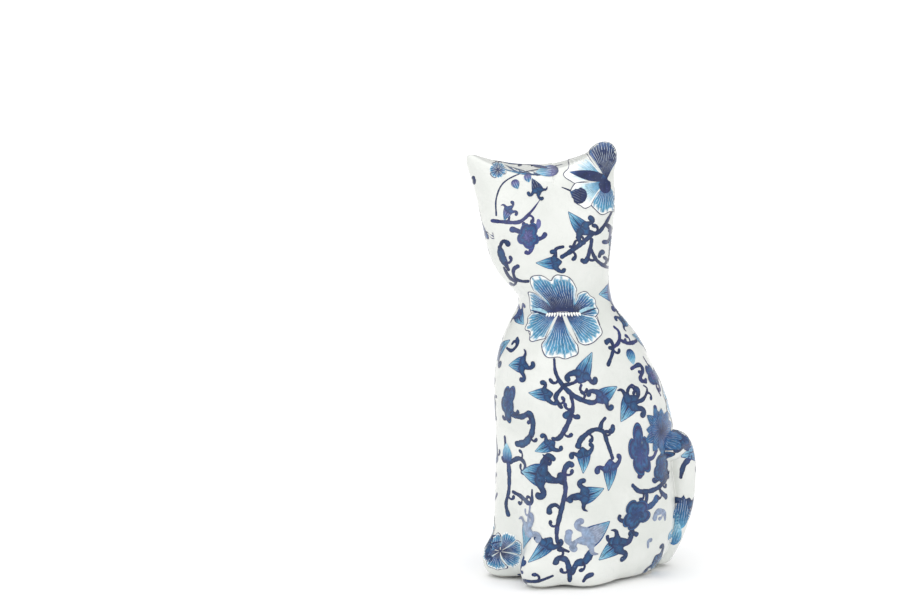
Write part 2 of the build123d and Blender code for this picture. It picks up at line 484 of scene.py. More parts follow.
def cloud_leaf(long, wide, dark=NAVY, light=COBALT, seed=0):
    """A dark rounded leaf with uneven lobes, a thin pale line just inside its edge and a curled foot."""
    lobes = 5
    wobble = random.Random(seed)
    turn = np.linspace(0, 2 * math.pi, 61)
    phase = wobble.uniform(0, 3)
    heights = np.array([wobble.uniform(0.22, 0.46) for _ in range(lobes)])
    lobe = (turn * lobes / (2 * math.pi) + phase) % lobes
    rim = 0.64 + heights[lobe.astype(int) % lobes] * np.abs(np.sin(math.pi * lobe)) ** 0.55
    rim *= 1 + 0.10 * np.sin(turn * 2 + phase)
    rim[-1] = rim[0]
    t = np.array([0, 0.16, 0.32, 0.48, 0.62, 0.74, 0.82, 0.87, 0.905, 0.935, 0.965, 1.0])
    bow = 0.16 * long * (np.cos(turn) * rim) ** 2
    outer = np.stack([wide * np.sin(turn) * rim + bow, long * np.cos(turn) * rim], -1)
    xy = outer[None] * t[:, None, None]
    stops = [(0, dark), (0.25, light), (0.45, dark), (0.64, BLUE), (0.80, dark), (0.87, dark),
             (0.905, COBALT), (0.935, BLUE), (0.965, dark), (1, dark)]
    ripple = 0.10 * np.sin(turn * lobes * 2 + phase)[None] * (t[:, None] > 0.1) * (t[:, None] < 0.7)
    foot = -0.62 * long
    horns = [
        stroke([(0, foot + 3), (-0.5, foot - 2), (-3.6, foot - 4.8), (-6.0, foot - 2.8)],
               [3.4, 2.4, 1.4, 1.3, 1.9], dark),
        stroke([(0, foot * 0.4), (wide * 0.9, foot * 0.7), (wide * 1.4, foot * 0.3)],
               [3.0, 2.0, 1.3, 1.9], dark),
    ]
    return horns + [Patch(xy, blend_inks(stops, t[:, None] + ripple))]


# Petals of a full flower, as shares of its size: bearing, half angle, reach, notch, foot in x and y,
# start and inks
PETALS = (
    (122, 21, 1.06, 0.0, 0.0, 0.05, 0.2, "white"),
    (-124, 20, 1.02, 0.0, 0.0, 0.05, 0.2, "white"),
    (73, 27, 1.02, 0.0, 0.02, -0.14, 0.25, "upper"),
    (-73, 27, 1.04, 0.0, -0.02, -0.16, 0.25, "upper"),
    (0, 19, 2.08, 0.10, 0.0, -1.10, 0.51, "upper"),
    (131, 25, 1.10, 0.05, -0.06, 0.10, 0.18, "lower"),
    (-137, 26, 1.12, 0.0, -0.02, 0.08, 0.18, "lower"),
    (176, 20, 1.26, 0.03, -0.06, 0.08, 0.18, "lower"),
)


def peony(size=28.0, seed=0):
    """A full flower of fan petals with a pale row of stamens across its heart."""
    inks = {"white": WHITE_STOPS, "upper": PETAL_STOPS, "lower": LOWER_STOPS}
    patches = []
    for i, (turn, half, share, notch, x, y, start, kind) in enumerate(PETALS):
        waves = 0 if turn == 0 else 2 + i % 2
        one = petal(size * share, half, notch, waves, inks[kind], seed * 10 + i, True, start)
        patches += moved(one, place=(x * size, y * size), turn=turn)
    bar = [(-0.95, -0.08), (-0.5, -0.11), (0, -0.10), (0.5, -0.10), (0.95, -0.06)]
    patches.append(stroke([(x * size, y * size) for x, y in bar], [0.3, 0.9, 1.3, 0.9, 0.3], NAVY))
    for k in range(13):
        x = (k - 6) / 6
        root = np.array([x * 0.40, -0.06 - 0.02 * x * x]) * size
        path = [root, root + (x * 0.6, -1.4), root + (x * 1.2, -2.6 - 0.4 * (k % 2))]
        patches.append(stroke(path, [0.9, 0.85, 0.6, 0.2], PAPER))
    for k in (-1, 1):
        path = [(k * 0.42, -0.08), (k * 0.66, -0.02), (k * 0.90, -0.03)]
        patches.append(stroke([(x * size, y * size) for x, y in path], [1.0, 1.3, 1.0, 0.4], PALE))
    return patches


def lotus(reach=20.0, seed=0):
    """A dark spiky flower: two rows of narrow petals."""
    patches = []
    stops = [(0, NAVY), (0.6, COBALT), (0.9, BLUE), (1, NAVY)]
    wobble = random.Random(seed)
    for ring, (count, share) in enumerate(((11, 1.0), (8, 0.72))):
        for k in range(count):
            turn = 360 * (k + 0.5 * ring) / count + wobble.uniform(-5, 5)
            size = share * wobble.uniform(0.86, 1.06)
            blade = pointed(reach * size, 4.0, stops, lines=0.35, belly=0.5)
            patches.append(blade.moved(turn=turn))
            patches.append(stroke([(0, 2), (0.3, reach * size * 0.5), (0, reach * size * 0.92)],
                                  [0.1, 0.25, 0.25, 0.05], BLUE).moved(turn=turn + 4))
    return patches


def small_flower(size=7.0, seed=0):
    patches = []
    for k in range(6):
        patches += moved(petal(size, 30, 0.05, seed=seed + k, outline=k % 2 == 0), turn=60 * k + 10 * seed)
    return patches + [stroke([(-0.8, 0), (0, 0.2), (0.8, 0)], [0.8, 1.0, 0.8], NAVY)]


# ---------------------------------------------------------------------------------------------
# Laying the print on the skin
# ---------------------------------------------------------------------------------------------
RAY_ROUNDS = 60
STRIDE = 0.85             # the share of the field's distance that a ray walks at once
TOUCH = 0.02              # a ray this near the skin is on it
PASSED = 12.0             # a ray this much further off than it has been is going away
VIEW_START = 170.0        # where rays start, from the middle of the cat
WRAP_START = 90.0
PRINT_HEIGHTS = (2.2, 300.0)


def cast(start, heading):
    """Walk each ray up to the skin and return the settled points."""
    nearest = start.copy()
    least = np.full(len(start), 1e9)
    walking = np.arange(len(start))
    at = start.copy()
    for _ in range(RAY_ROUNDS):
        d = cat(at[walking])
        closer = d < least[walking]
        nearest[walking[closer]] = at[walking[closer]]
        least[walking] = np.minimum(least[walking], d)
        # a ray stops on the skin, or once it has passed it and is going away
        going = (d > TOUCH) & (d < least[walking] + PASSED)
        walking, d = walking[going], d[going]
        if not len(walking):
            break
        at[walking] += heading[walking] * np.maximum(d * STRIDE, TOUCH)[:, None]
    return settle(nearest)


def middle(z):
    """The cat's middle line at each height."""
    right, back, up = head_axes()
    low = smooth_table(TRUNK, z)[0]
    mid_x, mid_y = smooth_table(HEAD, z - NECK_Z)[:2]
    above = np.array([0, NECK_Y, NECK_Z]) + mid_x[:, None] * right + mid_y[:, None] * back
    above = above + (z - NECK_Z)[:, None] * up
    share = np.clip((z - NECK_Z + 8) / 16, 0, 1)[:, None]
    flat = np.stack([np.zeros(len(z)), low], 1) * (1 - share) + above[:, :2] * share
    return np.stack([flat[:, 0], flat[:, 1] + SHIFT_Y, z], 1)


def wrap(bearing, z):
    """Skin points at bearings round the middle line, in degrees from -Y towards +X, and heights."""
    z = np.clip(z, *PRINT_HEIGHTS)
    a = np.radians(bearing)
    outward = np.stack([np.sin(a), -np.cos(a), np.zeros(len(a))], 1)
    centre = middle(z)
    return cast(centre + outward * WRAP_START, -outward)


class View:
    """A flat drawing plane that faces the cat from one bearing, in millimetres from the origin."""

    def __init__(self, turn, rise=13.0):
        a, e = math.radians(turn), math.radians(rise)
        self.right = np.array([math.cos(a), math.sin(a), 0])
        self.toward = np.array([math.sin(a) * math.cos(e), -math.cos(a) * math.cos(e), math.sin(e)])
        self.up = np.cross(self.toward, self.right)

    def on_skin(self, points):
        points = np.asarray(points, float).reshape(-1, 2)
        start = points[:, :1] * self.right + points[:, 1:] * self.up + VIEW_START * self.toward
        return cast(start, np.broadcast_to(-self.toward, start.shape).copy())

    def bearings(self, points):
        hit = self.on_skin(points)
        out = hit - middle(hit[:, 2])
        bearing = np.degrees(np.arctan2(out[:, 0], -out[:, 1]))
        return np.stack([bearing, hit[:, 2]], 1), np.hypot(out[:, 0], out[:, 1])


LEVEL = 0.06              # millimetres between the skin and the lowest layer of print
LAYER = 0.008             # between one layer and the next
laid = {"body_print": [], "head_print": [], "tail_print": []}


def lay(piece, patches, how, above):
    """Queue patches, each a layer above the one before, with how their flat points reach the skin."""
    for i, patch in enumerate(patches):
        laid[piece].append((patch, how, LEVEL + LAYER * (i + above)))


BOLD = 1.15               # how much fuller the brush lines are than their stated widths
LEAST_RADIUS = 20.0       # a motif is never bent round a tighter curve than this
VINE = (0.5, 1.2, 1.3, 1.2, 1.2, 1.6)


def rise_at(bearing, z):
    """How far the skin runs for each millimetre of height, at one bearing and height."""
    ends = wrap(np.array([bearing, bearing]), np.array([z - 2, z + 2]))
    return max(np.linalg.norm(ends[1] - ends[0]) / 4, 1.0)


class Sheet:
    """A view's drawing plane, with the piece of print that is drawn on it."""

    def __init__(self, view, piece="body_print"):
        self.view = view
        self.piece = piece

    def put(self, motif, at, turn=0.0, size=1.0, above=None):
        """Place a motif by its own origin on the skin that the view sees at a point."""
        patches = moved(motif, turn=turn, size=size)
        # neighbours that overlap lie in different layers
        above = 3 + 9 * (len(laid[self.piece]) // 5 % 3) if above is None else above
        if self.piece != "body_print":
            lay(self.piece, moved(patches, place=at), ("cast", self.view), above)
            return
        bearing, radius = self.view.bearings([at])
        b, z = bearing[0]
        lay(self.piece, patches, ("wrap", b, z, max(radius[0], LEAST_RADIUS), rise_at(b, z)), above)

    def bell(self, at, turn, size=1.0, *inks, **shape):
        self.put(bell_leaf(*inks, **shape), at, turn, size)

    def star(self, at, turn, size=1.0, *inks):
        self.put(star_leaf(*inks), at, turn, size)

    def cloud(self, at, turn, *shape, seed):
        self.put(cloud_leaf(*shape, seed=seed), at, turn)

    def vine(self, points, widths=VINE, colour=NAVY, end_colour=None, hooks=None):
        """A brush line through points in the plane, with hooks at (share of the way, side, size)."""
        widths = np.array(widths) * BOLD
        if self.piece != "body_print":
            flat, how = np.asarray(points, float), ("cast", self.view)
        else:
            places, radii = self.view.bearings(points)
            b, z = places[0, 0], places[:, 1].mean()
            turned = (places[:, 0] - b + 180) % 360 - 180
            r = max(radii.mean(), LEAST_RADIUS)
            flat = np.stack([np.radians(turned) * r, places[:, 1] - z], 1)
            how = ("wrap", b, z, r, 1.0)
        patches = [stroke(flat, widths, colour, end_colour)]
        line = curve_through(flat, 101)
        if hooks is None:
            hooks = self.own_hooks(line, max(widths))
        for share, side, size in hooks:
            k = int(share * 98)
            along = line[k + 2] - line[k]
            heading = math.degrees(math.atan2(along[1], along[0]))
            patches.append(hook(line[k], heading, side, size, colour))
        lay(self.piece, patches, how, above=len(laid[self.piece]) % 3)

    def own_hooks(self, line, widest):
        """The hooks of a vine that names none: two on a long one, one on a shorter, none on a thin one."""
        run = np.linalg.norm(np.diff(line, axis=0), axis=1).sum()
        side = 1 if len(laid[self.piece]) % 2 else -1
        if widest <= 1.0 or run <= 16:
            return []
        return [(0.3, side, 0.85), (0.68, -side, 0.8)] if run > 26 else [(0.55, side, 0.8)]


def skin_points(entries):
    """The skin points of every queued patch, one array for each."""
    groups = {}
    for index, (patch, how, _) in enumerate(entries):
        xy = patch.xy.reshape(-1, 2)
        if how[0] == "wrap":
            _, b, z, r, rise = how
            xy = np.stack([b + np.degrees(xy[:, 0] / r), z + xy[:, 1] / rise], 1)
        groups.setdefault(how[0] if how[0] == "wrap" else how[1], []).append((index, xy))
    found = [None] * len(entries)
    for key, items in groups.items():
        numbers = np.concatenate([n for _, n in items])
        hit = wrap(numbers[:, 0], numbers[:, 1]) if key == "wrap" else key.on_skin(numbers)
        at = 0
        for index, n in items:
            found[index] = hit[at:at + len(n)]
            at += len(n)
    return found


FILL_GAP = 7.0            # the widest bare spot that stays, as a radius
FRONT_GAP = 9.5           # the same on the side with the drawn layout
FILL_SAMPLES = 6000
ROOM_FOR_HORNS = 11.5     # a large leaf goes where the bare spot is wider than this
ROOM_FOR_LEAF = 9.0       # and a small one where it is wider than this


def fill_bare_spots(skin_vertices):
    """Put small hooks and leaves into the widest bare spots of the body and the back of the head."""
    laid_points = np.concatenate([q[::2] for name in laid for q in skin_points(laid[name])])
    tree = KDTree(len(laid_points))
    for k, q in enumerate(laid_points):
        tree.insert(q, k)
    tree.balance()
    pick = random.Random(5)
    spots = skin_vertices[pick.sample(range(len(skin_vertices)), FILL_SAMPLES)]
    facing = normals(spots) @ FRONT.toward
    on_face = (spots[:, 2] > NECK_Z + 6) & (facing > -0.1)
    low = (spots[:, 2] < 12) | (spots[:, 2] > 285)
    on_tail = tail(spots - np.array([0, SHIFT_Y, 0])) < 8
    spots = spots[~(on_face | low | on_tail)]
    facing = (normals(spots) @ FRONT.toward) > 0.2
    free = np.array([tree.find(q)[2] for q in spots]) - facing * (FRONT_GAP - FILL_GAP)
    while free.max() > FILL_GAP:
        k = int(free.argmax())
        room = free[k] + facing[k] * (FRONT_GAP - FILL_GAP)
        centre = spots[k]
        out = centre - middle(centre[2:3])[0]
        bearing = math.degrees(math.atan2(out[0], -out[1]))
        radius = max(math.hypot(out[0], out[1]), LEAST_RADIUS)
        how = ("wrap", bearing, centre[2], radius, rise_at(bearing, centre[2]))
        dark = pick.choice((NAVY, NAVY, INDIGO))
        if room > ROOM_FOR_HORNS:
            motif = pick.choice((bell_leaf, star_leaf))(dark)
            reach = 0.072 * min(room, 15)
        elif room > ROOM_FOR_LEAF:
            motif = cloud_leaf(8, 7, dark, seed=k) if pick.random() < 0.4 else star_leaf(dark)
            reach = 0.085 * room
        else:
            motif = [stroke([(0, -6), (0.8, -1.5), (0, 1.5)], [0.5, 1.1, 1.4], dark),
                     hook((0, -1), 90, 1, 0.95, dark), hook((0.6, -3), 90, -1, 0.8, dark)]
            reach = 0.125 * room
        patches = moved(motif, turn=pick.uniform(0, 360), size=reach)
        lay("head_print" if centre[2] > NECK_Z else "body_print", patches, how, above=2)
        free = np.minimum(free, np.linalg.norm(spots - centre, axis=1) - 0.85 * room)


def print_piece(name, material):
    """One mesh of everything laid on a piece."""
    found = skin_points(laid[name])
    points, faces, colours, grains, start = [], [], [], [], 0
    for index, (patch, _, level) in enumerate(laid[name]):
        rows, cols = patch.xy.shape[:2]
        p = found[index]
        n = normals(p)
        points.append(p + n * level)
        grid = start + np.arange(rows * cols).reshape(rows, cols)
        quads = np.stack([grid[:-1, :-1], grid[:-1, 1:], grid[1:, 1:], grid[1:, :-1]], -1).reshape(-1, 4)
        local = quads - start
        flat = patch.xy.reshape(-1, 2)
        drawn = np.linalg.norm(flat[local[:, 0]] - flat[local[:, 2]], axis=1)
        spread = np.maximum(np.linalg.norm(p[local[:, 0]] - p[local[:, 2]], axis=1),
                            np.linalg.norm(p[local[:, 1]] - p[local[:, 3]], axis=1))
        quads = quads[spread < 3.0 * drawn + 2.0]
        faces.append(quads)
        colours.append(patch.colour.reshape(-1, 3))
        grains.append(patch.grain.reshape(-1, 3))
        start += rows * cols
    points, faces = np.concatenate(points), np.concatenate(faces)
    colours, grains = np.concatenate(colours), np.concatenate(grains)
    point_normals = normals(points)
    a, b, c = points[faces[:, 0]], points[faces[:, 1]], points[faces[:, 2]]
    d = points[faces[:, 3]]
    area = np.cross(c - a, d - b)
    turned = (area * point_normals[faces[:, 0]]).sum(1) < 0
    faces[turned] = faces[turned][:, ::-1]
    keep = np.linalg.norm(area, axis=1) > 1e-5
    faces = faces[keep]
    used, renumbered = np.unique(faces, return_inverse=True)
    obj = make_object(name, points[used], renumbered.reshape(faces.shape), material, point_normals[used])
    mesh = obj.data
    attribute = mesh.attributes.new("ink", "FLOAT_COLOR", "POINT")
    rgba = np.concatenate([colours[used], np.ones((len(used), 1))], 1)
    attribute.data.foreach_set("color", rgba.astype(np.float32).ravel())
    attribute = mesh.attributes.new("grain", "FLOAT_VECTOR", "POINT")
    attribute.data.foreach_set("vector", grains[used].astype(np.float32).ravel())
    return obj


# ---------------------------------------------------------------------------------------------
# Where everything is printed
# ---------------------------------------------------------------------------------------------
FRONT = View(50)
FLANK = View(270)
BACK = View(160)
STEM = (0.8, 1.2, 1.3, 1.2, 0.9)
BUD = (0.6, 1.0, 1.1, 1.1, 1.8, 1.8)
TWO_BUDS = (1.7, 1.6, 1.1, 1.1, 1.7, 1.8)


def put_ear_flower(on):
    """A peony seen from its side: a dark upper petal in the ear, pale ones below it."""
    heart = (17, 271)
    on.put(petal(23, 36, 0.0, 2, LOWER_STOPS, 31), heart, 180, above=5)
    on.put(petal(26, 27, 0.0, 3, WHITE_STOPS, 35), heart, 122, above=8)
    on.put(petal(29, 30, 0.06, 3, WHITE_STOPS, 32), heart, 66, above=11)
    on.put(petal(29, 30, 0.0, 2, DARK_STOPS, 33), (17, 270), 1, above=14)
    on.put([pointed(26, 3.0, DARK_STOPS, 0.0)], (17, 272), 80, above=17)
    on.put([pointed(12, 4.6, DARK_STOPS, 0.3, 0.1)], (3, 258), 66, above=20)
    on.put([pointed(13, 3.4, DARK_STOPS, 0.0, 0.1)], (17, 262), 10, above=23)
    on.vine([(-14, 266), (-9, 264), (-3, 261)], (0.3, 0.5, 0.3), hooks=())
    # broken marks along the edge of the crown
    marks = (((-75, 289), (-70, 289)), ((-58, 283), (-54, 285)),
             ((-44, 281), (-41, 282)), ((-35, 281), (-30, 283)))
    for ends in marks:
        on.vine(ends, (0.4, 0.8, 0.5))
    on.vine([(-75, 274), (-74, 268)], (1.0, 1.2, 0.7))


def print_face():
    """The side of the head that looks at the viewer."""
    on = Sheet(FRONT, "head_print")
    put_ear_flower(on)
    on.put(small_flower(6.0, seed=2), (-58, 278))
    on.vine([(-59, 246), (-59, 258), (-54, 269), (-41, 276), (-27, 279), (-13, 282)],
            (0.5, 0.5, 0.4, 0.3, 0.2))
    on.put([pointed(7, 2.4, VIOLET_STOPS)], (-47, 271), 205)
    on.put([pointed(6, 2.2, VIOLET_STOPS)], (-38, 275), 195)
    on.star((-50, 251), 150, 0.55, INDIGO, VIOLET_STOPS)
    on.vine([(-63, 243), (-54, 242), (-43, 242), (-35, 249), (-29, 257)], (1.1, 1.1, 1.2, 1.1, 0.7, 0.2),
            INDIGO)
    on.put([pointed(16, 3.4, [(0, NAVY), (0.3, LILAC), (0.7, SKY), (1, PALE)])], (-16, 278), 96)
    on.star((-30, 263), 20, 0.62, NAVY, DARK_STOPS)
    on.cloud((-37, 232), 20, 10, 9, INDIGO, LILAC, seed=4)
    on.vine([(-50, 237), (-45, 236), (-39, 233)], (1.9, 1.7, 1.3, 1.6), INDIGO)
    on.vine([(-30, 244), (-30, 240), (-34, 235)], (1.0, 1.6, 1.8), LILAC)
    on.vine([(-40, 242), (-40, 238), (-38, 234)], (1.0, 1.1, 1.6), INDIGO)
    on.vine([(-50, 225), (-52, 228), (-55, 228), (-57, 222)], BUD[::-1])
    on.vine([(-57, 226), (-55, 218), (-52, 212), (-50, 208)], (1.0, 2.0, 2.4, 1.3, 0.8))
    on.vine([(-54, 211), (-50, 204), (-45, 200)], (0.5, 1.0, 1.0, 0.6))
    on.vine([(-43, 212), (-47, 209), (-46, 203), (-41, 201), (-36, 201)], (1.5, 1.2, 0.9, 1.0, 0.9, 0.9))
    on.bell((3, 235), 48, 0.95)
    on.vine([(2, 237), (10, 234), (16, 240), (22, 251)], (1.0, 1.3, 1.1, 0.9, 0.5))
    on.vine([(-15, 217), (-7, 222), (1, 228), (8, 234)], (1.2, 1.5, 1.4, 1.3))
    on.vine([(16, 241), (20, 236), (19, 229), (14, 228)], (0.9, 0.9, 0.9, 1.2, 1.3))
    on.vine([(7, 231), (6, 224), (3, 215), (-1, 216)], (1.0, 1.2, 1.2, 1.5, 1.5))
    on.vine([(6, 224), (10, 216), (17, 211), (22, 211)], (1.0, 1.1, 1.1, 0.8))
    on.vine([(16, 222), (13, 220), (12, 217)], (1.8, 1.4, 0.9))
    on.vine([(-9, 225), (-6, 225), (-4, 229), (0, 229)], (0.9, 0.9, 0.8, 0.5))
    on.bell((-16, 214), 98, 0.8)
    on.vine([(-18, 217), (-18, 223), (-12, 225)], (1.2, 1.1, 1.1, 0.8))


def print_chest():
    """The breast, forelegs and left flank."""
    on = Sheet(FRONT)
    on.put(peony(27, seed=1), (-13, 181), 2)
    on.vine([(-19, 148), (-18, 138), (-13, 129), (-4, 121), (7, 117), (13, 120)],
            (0.7, 1.1, 1.4, 1.6, 1.6, 1.4))
    on.vine([(-13, 129), (-5, 131), (-1, 135)], (1.2, 1.0, 1.1))
    on.bell((-1, 133), -30, 1.05, reach=1.1)
    on.bell((12, 119), -62)
    on.vine([(0, 130), (-1, 126), (2, 124), (4, 127)], (0.9, 0.8, 0.8, 0.9))
    on.vine([(-13, 128), (-18, 121), (-15, 115), (-13, 113)], (1.0, 1.3, 1.4, 1.2))
    on.bell((-22, 123), 100, 0.85)
    on.vine([(-8, 124), (-6, 115), (-8, 106), (-15, 93), (-21, 92)], (1.1, 1.1, 1.4, 1.5, 1.3))
    on.vine([(-13, 107), (-9, 109), (-7, 113)], (2.4, 2.2, 1.1))
    on.vine([(-1, 108), (-4, 107), (-7, 109)], (1.7, 1.4, 0.9))
    on.bell((-20, 89), 125, 0.8)
    on.star((-40, 143), 95, 0.95)
    on.vine([(-52, 155), (-48, 153), (-44, 158), (-45, 162)], (0.7, 1.1, 1.2, 1.7))
    on.cloud((-51, 117), -6, 14, 9, seed=7)
    on.vine([(-50, 109), (-42, 107), (-35, 109), (-34, 97), (-39, 89), (-46, 88)],
            (1.4, 1.7, 1.8, 1.9, 2.0, 2.5, 1.9))
    on.put([pointed(14, 4, LEAF_STOPS)], (-51, 75), 4)
    on.vine([(-53, 94), (-52, 83), (-50, 71), (-50, 56), (-52, 46), (-50, 37)],
            (0.9, 1.5, 1.9, 1.4, 1.2, 1.7))
    on.vine([(-50, 75), (-43, 78), (-39, 74), (-40, 68), (-42, 69)], (1.5, 1.5, 1.5, 1.4, 1.2))
    on.vine([(-48, 55), (-41, 51), (-35, 47), (-34, 57)], (1.0, 1.5, 1.8, 1.4, 0.6))
    on.star((-26, 66), 85, 1.35)
    on.vine([(-25, 67), (-27, 75), (-23, 80), (-18, 77)], (2.0, 1.9, 1.5, 1.8, 1.9))
    on.vine([(-22, 65), (-15, 62), (-11, 60)], (1.8, 1.2, 1.0))
    on.vine([(-6, 72), (-8, 75), (-12, 69), (-11, 56), (-14, 42), (-17, 27), (-15, 17), (-8, 13)],
            (1.8, 1.7, 1.3, 1.4, 1.5, 1.4, 1.2, 1.0, 0.8))
    on.vine([(-22, 39), (-22, 44), (-18, 46), (-14, 43)], (1.8, 1.6, 1.1, 1.1))
    on.vine([(-11, 49), (-4, 51), (2, 52)], (1.1, 1.6, 2.2))
    on.star((1, 52), -80)
    on.star((-37, 30), 155, 1.1, GREY, [(0, GREY), (0.4, SKY), (1, PALE)])
    on.vine([(-35, 50), (-36, 40), (-37, 32)], (0.6, 0.9, 1.6), GREY)
    on.bell((-22, 21), 150, 0.95)
    on.star((4, 22), -60, 1.25, GREY, GREY_STOPS)
    on.vine([(-8, 29), (-9, 21), (-4, 17)], (2.4, 2.0, 1.2), GREY)
    on.vine([(-18, 4), (-16, 9), (-10, 7), (-8, -2), (-8, -8)], (1.7, 1.6, 1.6, 1.7, 1.2))
    on.vine([(-7, -3), (-3, 5), (3, 7), (8, 15)], (1.3, 1.9, 2.4, 2.4))
    on.vine([(-43, -4), (-39, -7), (-30, -7), (-19, -3)], (1.2, 1.2, 1.2, 0.7))
    on.vine([(1, -8), (4, -4), (9, -2)], (0.9, 1.5, 1.5))
    on.put(small_flower(15, seed=5), (-56, 13))
    on.vine([(16, 158), (20, 160), (22, 154), (18, 142)], (1.7, 1.5, 1.1, 1.2, 1.3))
    on.vine([(22, 170), (26, 166), (26, 159), (22, 155)], (1.0, 1.2, 1.2, 1.0), INDIGO)
    on.vine([(26, 161), (33, 158), (39, 160)], (1.0, 1.2, 1.2, 0.8), INDIGO)
    on.put([pointed(12, 3.6, LEAF_STOPS)], (33, 154), 176)
    on.vine([(34, 140), (40, 143), (43, 140), (41, 133), (46, 131)], (0.9, 1.4, 1.4, 1.4, 1.4))
    on.star((35, 118), 128, 1.2)
    on.vine([(35, 118), (32, 124), (35, 129), (39, 126)], (1.8, 1.2, 0.9, 0.7))
    on.vine([(36, 117), (43, 119), (46, 126), (43, 129)], (1.8, 1.3, 0.9, 0.5))
    on.vine([(-3, 85), (0, 92), (8, 98), (15, 97), (18, 89), (22, 77)], (1.8, 1.6, 1.4, 1.5, 1.3, 1.2))
    on.vine([(13, 98), (14, 103), (17, 107)], (1.5, 1.2, 0.9))
    on.vine([(16, 97), (21, 97), (22, 102)], (1.2, 1.2, 1.7, 1.7))
    on.bell((1, 84), 186, 0.85)
    on.bell((20, 75), 184, 1.0, INDIGO, LEAF_STOPS)
    on.cloud((41, 82), 12, 19, 11.5, INDIGO, COBALT, seed=12)
    on.put(lotus(19, seed=3), (56, 97), 10)
    on.vine([(51, 115), (53, 109), (55, 102)], (1.8, 1.5, 1.2), INDIGO)
    on.cloud((56, 72), -30, 12, 9.5, seed=9)
    on.vine([(35, 60), (41, 55), (51, 56), (59, 62), (62, 69)], (1.3, 1.6, 1.5, 1.4, 0.8))
    on.cloud((38, 39), -70, 14, 11, seed=15)
    on.vine([(46, 54), (45, 47), (40, 41)], (1.3, 1.4, 1.8))
    on.vine([(45, 43), (50, 46), (54, 52)], (1.8, 2.0, 2.3), NAVY, COBALT)
    on.star((27, 19), 118, 1.15)
    on.vine([(28, 18), (22, 22), (19, 21), (18, 25)], (1.6, 1.2, 1.1, 1.3))
    on.vine([(28, 17), (34, 20), (37, 26)], (1.5, 1.2, 0.3))
    on.vine([(51, 34), (53, 40), (58, 40), (59, 34)], (2.2, 2.0, 1.8, 1.0), GREY)
    on.vine([(47, 15), (47, 20), (50, 21)], (0.7, 1.3, 1.3), GREY)
    on.vine([(56, 133), (61, 121), (66, 104)], (0.5, 1.1, 1.1, 0.8), INDIGO)
    on.vine([(43, 149), (50, 137), (53, 127), (56, 121)], (0.4, 0.9, 1.2, 0.7), INDIGO)
    on.vine([(30, 181), (36, 170), (43, 158)], (0.6, 1.0, 0.9, 0.6), INDIGO)


def print_tail():
    """The tail's own leaves, knob and stem."""
    on = Sheet(FRONT, "tail_print")
    on.cloud((71, 93), 0, 9, 9.5, seed=21)
    on.vine([(72, 85), (78, 84), (76, 77), (73, 75)], (1.5, 2.2, 1.8, 1.2))
    on.vine([(76, 77), (72, 72), (70, 63)], (1.8, 1.6, 1.0))
    on.put([pointed(24, 4.6, [(0, SKY), (0.4, BLUE), (0.8, COBALT), (1, NAVY)])], (69, 28), -8)
    on.put([pointed(16, 4.0, [(0, BLUE), (0.5, SKY), (1, PALE)])], (64, 17), -20)


